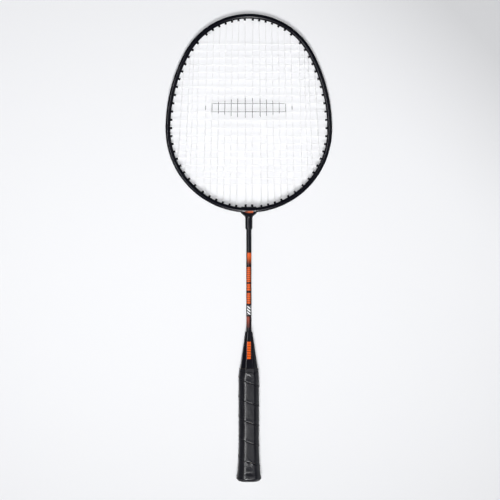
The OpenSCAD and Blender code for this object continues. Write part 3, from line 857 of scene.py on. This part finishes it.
# Butt cap: a plate with an eased edge, as (y, narrower by), and a plug into the wood, bored for its two tacks
butt = {"edge": [(0.0, 0.0024), (0.0, 0.0012), (0.0001, 0.0006), (0.0004, 0.0001), (0.0008, 0.0), (0.0016, 0.0),
                 (0.0018, 0.0002)],
        "bevel": 0.0062, "plate": 0.0018, "plug": 0.003, "plugEase": 0.0004, "tackX": 0.0075,
        "holeRadius": 0.00135, "holeDepth": 0.0013, "holeSides": 24}


def makeButtCap(finish):
    low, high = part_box("butt_cap")
    rings = [gripRing(y, high.x - low.x - 2 * less, high.z - low.z - 2 * less, butt["bevel"] - less,
                      grip["sharpCorner"], grip["fineSides"]) for y, less in butt["edge"]]
    plug, ease = butt["plug"], butt["plugEase"]
    rings += roundRings([(plug, butt["plate"]), (plug, high.y - ease), (plug - ease, high.y)], grip["fineSides"])
    piece = loft("buttCap", rings)
    for at in (-butt["tackX"], butt["tackX"]):
        clearSelection()
        bpy.ops.mesh.primitive_cylinder_add(
            vertices=butt["holeSides"], radius=butt["holeRadius"], depth=butt["holeDepth"],
            location=(at * cos(grip["turn"]), 0.0, at * sin(grip["turn"])), rotation=(pi / 2, 0.0, 0.0))
        cutter = bpy.context.object
        bpy.ops.object.transform_apply(location=True, rotation=True, scale=True)
        useModifier(piece, "BOOLEAN", {"object": cutter, "operation": "DIFFERENCE", "solver": "EXACT"})
        bpy.data.objects.remove(cutter)
    finishPiece(piece, finish, ["butt_cap"], smooth=35)
    return piece


# Finishes. Each look gives two shades that mix over the piece, and what closeMaterial needs.

lacquer = {"dark": (0.0015, 0.0015, 0.0045), "light": (0.0045, 0.0045, 0.0085),
           "rough": 0.19, "bump": 0.12, "deep": 0.0002, "specular": 0.08}


# Black lacquer with a slight orange peel and a little dust
def framePaint():
    made, start, place = newMaterial("framePaint")
    cloud = speckle(start, place, 24.0, 4.0)
    dust = speckle(start, place, 900.0, 3.0).rise(0.62, 0.74)
    colour = (cloud * 0.6 + dust * 0.4).mixed(lacquer["dark"], lacquer["light"])
    peel = speckle(start, place, 1100.0, 1.0) * 0.7 + speckle(start, place, 260.0, 1.0) * 0.3
    return closeMaterial(made, start, lacquer, colour, cloud * 0.08 + dust * 0.2, peel)


# A material with one fine grain, which mixes its two shades, roughens it and raises it
def plainGrain(name, look):
    made, start, place = newMaterial(name)
    grain = speckle(start, place, *look["grain"])
    return closeMaterial(made, start, look, grain.mixed(look["dark"], look["light"]), grain * look["rougher"], grain)


grommetLook = {"dark": (0.0015, 0.0015, 0.0035), "light": (0.0035, 0.0035, 0.0065), "grain": (1900.0, 2.0),
               "rough": 0.36, "rougher": 0.16, "bump": 0.2, "deep": 0.0001, "specular": 0.06}


def grommetPlastic():
    return plainGrain("grommetPlastic", grommetLook)


nylon = {"dark": (0.94, 0.94, 0.95), "light": (0.985, 0.985, 0.99), "ink": (0.006, 0.003, 0.005),
         "rough": 0.2, "bump": 0.15, "deep": 0.00005, "specular": 0.8}
stencil = {"length": 0.13, "height": 0.0285, "drop": 0.0056, "power": 1.35, "edge": 1.06, "soft": 0.05, "ragged": 0.12}


# White string, with a plain dark shape sprayed across the middle of the bed: pointed at its two ends
def stringNylon():
    made, start, place = newMaterial("stringNylon")
    x, y, z = axes(start, place)
    middle = onSurface(imagePoints["stringMark"], frame["nodes"]["cross_string"])
    placed["stringMark"] = (middle.x, middle.y - stencil["drop"], middle.z)
    ragged = speckle(start, place, 420.0, 2.0)
    along = abs(x - middle.x) / (stencil["length"] / 2)
    across = abs(y - middle.y + stencil["drop"]) / (stencil["height"] / 2)
    away = ragged * stencil["ragged"]
    for part in (along, across):
        away = away + start.math("POWER", part, stencil["power"])
    paint = away.rise(stencil["edge"] + stencil["soft"], stencil["edge"] - stencil["soft"])
    paint = paint * (0.8 + 0.2 * ragged.rise(0.3, 0.6))
    fleck = speckle(start, place, 1500.0, 2.0)
    colour = paint.mixed(fleck.mixed(nylon["dark"], nylon["light"]), nylon["ink"])
    return closeMaterial(made, start, nylon, colour, 0.14 * fleck, fleck)


throatBlack = {"dark": (0.0015, 0.0015, 0.0045), "light": (0.004, 0.004, 0.0082),
               "rough": 0.2, "bump": 0.16, "deep": 0.0001, "specular": 0.12}
bar = {"length": 0.0148, "height": 0.0025, "bow": 0.1132, "thin": (0.0, 0.34), "end": (1.0, 0.93), "slim": 0.86,
       "stops": [(0.12, (0.05, 0.012, 0.008)), (0.38, (0.2, 0.038, 0.014)),
                 (0.6, (0.52, 0.095, 0.022)), (0.95, (0.46, 0.08, 0.02))],
       "front": (0.001, 0.002)}  # the paint begins this high over the racket's middle


# Black moulded plastic, with an orange bar on the front that narrows and darkens to the left
def throatPlastic():
    made, start, place = newMaterial("throatPlastic")
    x, y, z = axes(start, place)
    placed["throatBar"] = middle = onSurface(imagePoints["throatBar"], frame["nodes"]["throat_cover"])
    grain = speckle(start, place, 2300.0, 2.0)
    along = (x - (middle.x - bar["length"] / 2)) / bar["length"]
    lift = middle.y + (x * x - middle.x**2) / (2 * bar["bow"])  # the bar bows with the head
    edge = abs(y - lift) / (bar["height"] / 2) + speckle(start, place, 700.0, 2.0) * 0.2 - 0.1
    shown = along.rise(*bar["thin"]) * along.rise(*bar["end"])
    paint = (shown - edge * bar["slim"]).rise(0.02, 0.12) * z.rise(*bar["front"])
    orange = start.node("ShaderNodeValToRGB", {"stops": bar["stops"]}, {"Fac": along})
    colour = paint.mixed(grain.mixed(throatBlack["dark"], throatBlack["light"]), orange)
    return closeMaterial(made, start, throatBlack, colour, grain * 0.12 + paint * 0.35, grain)


# A row of plain printed blocks along a piece, 1 on the ink. along is measured from the row's start, across from
# its middle; ends, soft and side say how soft the row's ends, the gaps and the sides are.
def blockRow(along, across, row):
    inBlock = along.wrapped(row["block"]).between(row["gap"] / 2, row["block"] - row["gap"] / 2, row["soft"])
    return along.between(0.0, row["length"], row["ends"]) * inBlock \
        * abs(across).rise(row["half"] + row["side"], row["half"] - row["side"])


shaftBlack = {"dark": (0.0015, 0.0015, 0.0045), "light": (0.0045, 0.0045, 0.0085), "orange": (0.7, 0.095, 0.012),
              "lightOrange": (0.8, 0.125, 0.018), "red": (0.3, 0.055, 0.03), "white": (0.95, 0.95, 0.97),
              "rough": 0.26, "bump": 0.3, "deep": 0.00004, "specular": 0.1}
# The marks on the shaft: how long each is, and how far its middle shows from the shaft's line
shaftMarks = {"fadingBlock": (0.0185, 0.0006), "longRow": (0.0211, -0.0004), "middleRow": (0.0098, -0.0004),
              "lowerRow": (0.0153, -0.0004), "whiteStripes": (0.0122, 0.0), "redStreak": (0.0152, -0.0012)}
shaftRow = {"gap": 0.0006, "soft": 0.00012, "ends": 0.00012, "half": 0.00255, "side": 0.00015,
            "blocks": {"longRow": 0.00264, "middleRow": 0.0033, "lowerRow": 0.00306}}
shaftPaints = {"front": (0.0006, 0.0012), "soft": 0.0002, "fadeSide": (-0.0024, -0.0021), "fade": (0.05, 0.85),
               "stripes": 3, "slant": 0.8, "stripe": (0.0008, 0.003), "stripeSide": (0.0025, 0.0022),
               "streakSoft": 0.0006, "streakSide": (0.0036, 0.0014), "brushed": 0.003, "streakFull": 0.9}


# Black paint with marks on the front: a block that fades, three rows of blocks, slanted stripes and a streak
def shaftPaint():
    made, start, place = newMaterial("shaftPaint")
    x, y, z = axes(start, place)
    look, along, long = shaftPaints, {}, {}
    for name, (length, across) in shaftMarks.items():
        middle = onSurface(imagePoints[name], frame["nodes"]["shaft"])
        placed[name] = (across, middle.y, middle.z)
        along[name], long[name] = y - (middle.y - length / 2), length
    front = z.rise(*look["front"])
    ragged = speckle(start, place, 1300.0, 2.0)
    rows = 0.0
    for name, block in shaftRow["blocks"].items():
        row = {**shaftRow, "length": long[name], "block": block}
        rows = rows + blockRow(along[name], x - shaftMarks[name][1], row)

    begin, full = [long["fadingBlock"] * part for part in look["fade"]]
    fade = along["fadingBlock"].between(0.0, long["fadingBlock"], look["soft"]) \
        * x.rise(*look["fadeSide"]) * along["fadingBlock"].rise(begin, full)

    brush = speckle(start, place, 900.0, 3.0, stretch=(1.6, 0.16, 1.0)) * look["brushed"]
    streak = along["redStreak"].between(0.0, long["redStreak"], look["streakSoft"]) \
        * (x + brush).rise(*look["streakSide"]) \
        * (0.25 + 0.75 * along["redStreak"].rise(0.0, long["redStreak"] * look["streakFull"]))

    slanted = (along["whiteStripes"] + x * look["slant"]).wrapped(long["whiteStripes"] / look["stripes"])
    stripes = along["whiteStripes"].between(0.0, long["whiteStripes"], look["soft"]) \
        * abs(x).rise(*look["stripeSide"]) * slanted.between(*look["stripe"], look["soft"])

    orange = ragged.mixed(shaftBlack["orange"], shaftBlack["lightOrange"])
    colour = ragged.mixed(shaftBlack["dark"], shaftBlack["light"])
    for mask, ink in ((rows, orange), (fade, orange), (streak, shaftBlack["red"]), (stripes, shaftBlack["white"])):
        colour = (mask * front).mixed(colour, ink)
    return closeMaterial(made, start, shaftBlack, colour, ragged * 0.1, rows * front + ragged * 0.12)


coneBlack = {"dark": (0.0015, 0.0015, 0.0042), "light": (0.0035, 0.0035, 0.0075), "orange": (0.76, 0.1, 0.007),
             "lightOrange": (0.88, 0.135, 0.013), "rough": 0.24, "bump": 0.25, "deep": 0.00005, "specular": 0.11}
coneRow = {"length": 0.0242, "block": 0.00346, "gap": 0.0006, "soft": 0.00012, "ends": 0.00015,
           "half": 0.0026, "side": 0.00015, "front": (0.001, 0.002)}


# Black moulded plastic, with one row of orange blocks on the front flat
def conePlastic():
    made, start, place = newMaterial("conePlastic")
    x, y, z = axes(start, place)
    placed["coneRow"] = middle = onSurface(imagePoints["coneRow"], frame["nodes"]["cone"])
    row = blockRow(y - (middle.y - coneRow["length"] / 2), x - middle.x, coneRow) * z.rise(*coneRow["front"])
    orange = speckle(start, place, 1100.0, 2.0).mixed(coneBlack["orange"], coneBlack["lightOrange"])
    grain = speckle(start, place, 2600.0, 2.0)
    colour = row.mixed(grain.mixed(coneBlack["dark"], coneBlack["light"]), orange)
    return closeMaterial(made, start, coneBlack, colour, grain * 0.12, row + grain * 0.2)


leather = {"dark": (0.001, 0.001, 0.004), "light": (0.0035, 0.0035, 0.0072),
           "rough": 0.26, "bump": 0.28, "deep": 0.00022, "specular": 0.25}


# Soft black leather: a pressed grain, creases in it, and rubbed patches
def wrapLeather():
    made, start, place = newMaterial("wrapLeather")
    cells = start.node("ShaderNodeTexVoronoi", {"feature": "DISTANCE_TO_EDGE"},
                       {"Vector": place, "Scale": 900.0}).rise(0.0, 0.22)
    crease = speckle(start, place, 190.0, 4.0, 0.6, (1.0, 1.7, 1.0))
    rubbed = speckle(start, place, 60.0, 3.0)
    fine = speckle(start, place, 3200.0, 2.0)
    colour = (rubbed * 0.7 + crease * 0.3).rise(0.3, 0.75).mixed(leather["dark"], leather["light"])
    height = cells * 0.45 + crease * 0.9 + fine * 0.15
    return closeMaterial(made, start, leather, colour, rubbed * 0.12 + cells * 0.04, height)


bandLook = {"dark": (0.0015, 0.0015, 0.0042), "light": (0.0045, 0.0045, 0.008),
            "grain": (420.0, 3.0, 0.6, (0.4, 3.0, 0.4)), "rough": 0.36, "rougher": 0.15,
            "bump": 0.3, "deep": 0.0002, "specular": 0.15}


# Black tape, pulled round the handle
def bandRubber():
    return plainGrain("bandRubber", bandLook)


capLook = {"dark": (0.006, 0.006, 0.0075), "light": (0.014, 0.014, 0.0165), "grain": (1500.0, 3.0),
           "rough": 0.42, "rougher": 0.18, "bump": 0.3, "deep": 0.00015, "specular": 0.3}


def capPlastic():
    return plainGrain("capPlastic", capLook)


alloyLook = {"dark": (0.42, 0.43, 0.45), "light": (0.6, 0.61, 0.63), "grain": (700.0, 4.0),
             "rough": 0.34, "rougher": 0.2, "bump": 0.25, "deep": 0.0001, "metal": 1.0}


# The throat's cast metal
def coreAlloy():
    return plainGrain("coreAlloy", alloyLook)


steelLook = {"dark": (0.5, 0.5, 0.52), "light": (0.68, 0.68, 0.7), "grain": (1600.0, 2.0, 0.5, (1.0, 1.0, 0.1)),
             "rough": 0.22, "rougher": 0.16, "bump": 0.15, "deep": 0.00005, "metal": 1.0}


# Drawn steel of the pins and tacks
def pinSteel():
    return plainGrain("pinSteel", steelLook)


wood = {"dark": (0.5, 0.31, 0.15), "light": (0.72, 0.5, 0.28), "rings": 900.0, "bent": 9.0,
        "rough": 0.5, "bump": 0.3, "deep": 0.0002}


# Pale wood: rings along the handle and fine pores
def handleWood():
    made, start, place = newMaterial("handleWood")
    x, y, z = axes(start, place)
    bent = speckle(start, place, 40.0, 2.0, stretch=(1.0, 0.25, 1.0))
    rings = start.math("SINE", (x + z * 0.6) * wood["rings"] + bent * wood["bent"]) * 0.5 + 0.5
    pores = speckle(start, place, 1400.0, 2.0, stretch=(1.0, 0.06, 1.0))
    colour = (rings * 0.6 + pores * 0.4).mixed(wood["dark"], wood["light"])
    return closeMaterial(made, start, wood, colour, pores * 0.2, pores)


# Table: a white sheet that the racket lies on, with painted shade: its colour is a little darker away from its middle
# and in the far right corner, where less light falls
table = {"size": 5.0, "cuts": 3, "rise": 0.0176, "contact": (0.0048, -0.0157), "white": (0.955, 0.96, 0.98),
         "middle": (-0.16, 0.3), "level": 0.93, "leastLevel": 0.7, "sideShade": 0.2, "farShade": 0.55, "farRise": 0.2,
         "corner": (0.5, 1.1), "cornerShade": 0.4, "rough": 0.75, "bump": 0.05, "deep": 0.0005, "specular": 0.1}


def tableTop():
    made, start, place = newMaterial("tableTop")
    x, y, z = axes(start, place)
    across, up = x - table["middle"][0], y - table["middle"][1]
    # Painted shade: the sheet's colour falls off away from its middle and darkens in the far right corner, as the light
    # does
    corner = (across + up).rise(*table["corner"])
    level = table["level"] - across * across * table["sideShade"] - up * up * table["farShade"] \
        + up * table["farRise"] - corner * table["cornerShade"]
    level = start.math("MAXIMUM", level, table["leastLevel"])
    colour = start.node("ShaderNodeVectorMath", {"operation": "SCALE"}, {0: table["white"], "Scale": level})
    return closeMaterial(made, start, table, colour, 0.0, speckle(start, place, 120.0, 3.0))


def addTable():
    clearSelection()
    y, z = table["contact"]
    bpy.ops.mesh.primitive_plane_add(size=table["size"])
    piece = bpy.context.object
    piece.name = piece.data.name = "tableTop"
    startEdit()
    bpy.ops.mesh.select_all(action="SELECT")
    bpy.ops.mesh.subdivide(number_cuts=table["cuts"])
    endEdit()
    for vert in piece.data.vertices:
        vert.co.z = z + table["rise"] * (vert.co.y - y)
    piece.data.materials.append(tableTop())


# Soft boxes over the table; up and turn are angles from the table and from the butt's side. The fill is kept out
# of the reflections, and the cards are strips that only show in them.
lampAim = (0.0, 0.32, 0.0)
lamps = {
    "key": {"distance": 2.4, "up": 62, "turn": -2, "size": (0.45, 0.85), "power": 35.0,
            "lights": True, "mirrored": True},
    "fill": {"distance": 4.5, "up": 89, "turn": 0, "size": (0.5, 0.5), "power": 92.0,
             "lights": True, "mirrored": False},
    "keyCard": {"distance": 2.3, "up": 52, "turn": -2, "size": (0.4, 0.3), "power": 100.0,
                "lights": False, "mirrored": True},
    "leftCard": {"distance": 1.8, "up": 59, "turn": -90, "size": (1.4, 0.13), "power": 58.0,
                 "lights": False, "mirrored": True},
    "rightCard": {"distance": 1.8, "up": 56, "turn": 90, "size": (1.4, 0.22), "power": 9.0,
                  "lights": False, "mirrored": True},
}


def addLamps():
    for name, lamp in lamps.items():
        up, turn = radians(lamp["up"]), radians(lamp["turn"])
        toward = Vector((cos(up) * sin(turn), -cos(up) * cos(turn), sin(up)))
        bpy.ops.object.light_add(type="AREA", location=Vector(lampAim) + toward * lamp["distance"])
        made = bpy.context.object
        made.name = made.data.name = name
        made.rotation_euler = toward.to_track_quat("Z", "Y").to_euler()
        made.data.shape = "RECTANGLE"
        made.data.size, made.data.size_y = lamp["size"]
        made.data.energy = lamp["power"]
        made.visible_diffuse, made.visible_glossy = lamp["lights"], lamp["mirrored"]


# Sky: a dim light, nearly white where the camera sees it and faint in reflections
sky = {"colour": (0.92, 0.95, 1.0), "strength": 0.08, "seen": 0.92, "mirrored": 0.05}


def addSky():
    world = bpy.data.worlds.new("sky")
    bpy.context.scene.world = world
    world.use_nodes = True
    world.node_tree.nodes.clear()
    start = Wire(world.node_tree)
    seen, through, mirrored = [start.node("ShaderNodeLightPath", out=ray)
                               for ray in ("Is Camera Ray", "Is Transmission Ray", "Is Glossy Ray")]
    level = sky["strength"] + (seen + through) * (sky["seen"] - sky["strength"]) + mirrored * sky["mirrored"]
    background = start.node("ShaderNodeBackground", sockets={"Color": (*sky["colour"], 1.0), "Strength": level})
    start.node("ShaderNodeOutputWorld", sockets={"Surface": background})
    bpy.context.scene.view_settings.view_transform = "Standard"


# The metal inside the throat stays as it is and gets its own finishes
def dressThroat(alloy, steel):
    for name, finish in (("throat_core", alloy), ("throat_pin", steel)):
        for slot in frame["nodes"][name].material_slots:
            slot.material = finish


# What sits inside the wrap: a merged copy of each solid, turned with the handle
def makeInside(name, node, finish):
    solid = frame["nodes"][node]
    piece = solid.copy()
    piece.data = solid.data.copy()
    piece.name = piece.data.name = name
    bpy.context.scene.collection.objects.link(piece)
    makeActive(piece)
    startEdit()
    bpy.ops.mesh.select_all(action="SELECT")
    bpy.ops.mesh.remove_doubles(threshold=0.000001)
    endEdit()
    piece.rotation_mode = "XYZ"
    piece.rotation_euler = (0.0, -grip["turn"], 0.0)
    bpy.ops.object.transform_apply(location=True, rotation=True, scale=True)
    finishPiece(piece, finish, [node], smooth=30)
    return piece


pieces = {}
pieces["head"] = makeHeadFrame(framePaint())
pieces["grommets"] = makeGrommets(grommetPlastic())
pieces["mainString"], pieces["crossString"] = makeStrings(stringNylon())
print("strings woven")
pieces["cover"] = makeThroatCover(throatPlastic())
pieces["shaft"] = makeShaft(shaftPaint())
pieces["cone"] = makeCone(conePlastic())
pieces["wrap"] = makeGripWrap(wrapLeather())
pieces["band"] = makeGripBand(bandRubber())
pieces["cap"] = makeButtCap(capPlastic())
steel = pinSteel()
dressThroat(coreAlloy(), steel)
pieces["core"] = makeInside("woodCore", "handle_core", handleWood())
pieces["pin"] = makeInside("handlePin", "handle_pin", steel)
pieces["wrapTack"] = makeInside("wrapTack", "wrap_tack", steel)
pieces["capTacks"] = makeInside("capTacks", "butt_tacks", steel)
print("finishes on")
addTable()
addLamps()
addSky()
print("table and lamps set")


# How far each thing shows from its image point
def writePoints():
    shown = [vert.co for piece in bpy.data.objects if piece.get("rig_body") and piece.type == "MESH"
             and not piece.hide_render for vert in piece.data.vertices]
    seen = [seenAt(place) for place in shown]
    edges = {"leftEdge": min(x for x, y in seen), "rightEdge": max(x for x, y in seen),
             "topEdge": min(y for x, y in seen), "bottomEdge": max(y for x, y in seen)}
    report = {name: {"off": round(edges[name] - imagePoints[name], 2)} for name in edges}
    for name, piece, reach in (("sleeveEnd", "cover", 0.0004), ("gripBand", "band", 1.0)):
        lowest = min(vert.co.y for vert in pieces[piece].data.vertices)
        near = [seenAt(vert.co) for vert in pieces[piece].data.vertices
                if vert.co.y < lowest + reach and vert.co.z > 0]
        middle = [(min(values) + max(values)) / 2 for values in zip(*near)]
        report[name] = {axis: round(middle[n] - imagePoints[name][n], 2) for n, axis in enumerate("xy")}
    for name, place in placed.items():
        report[name] = {axis: round(seenAt(place)[n] - imagePoints[name][n], 2) for n, axis in enumerate("xy")}
    return report


writePoints()
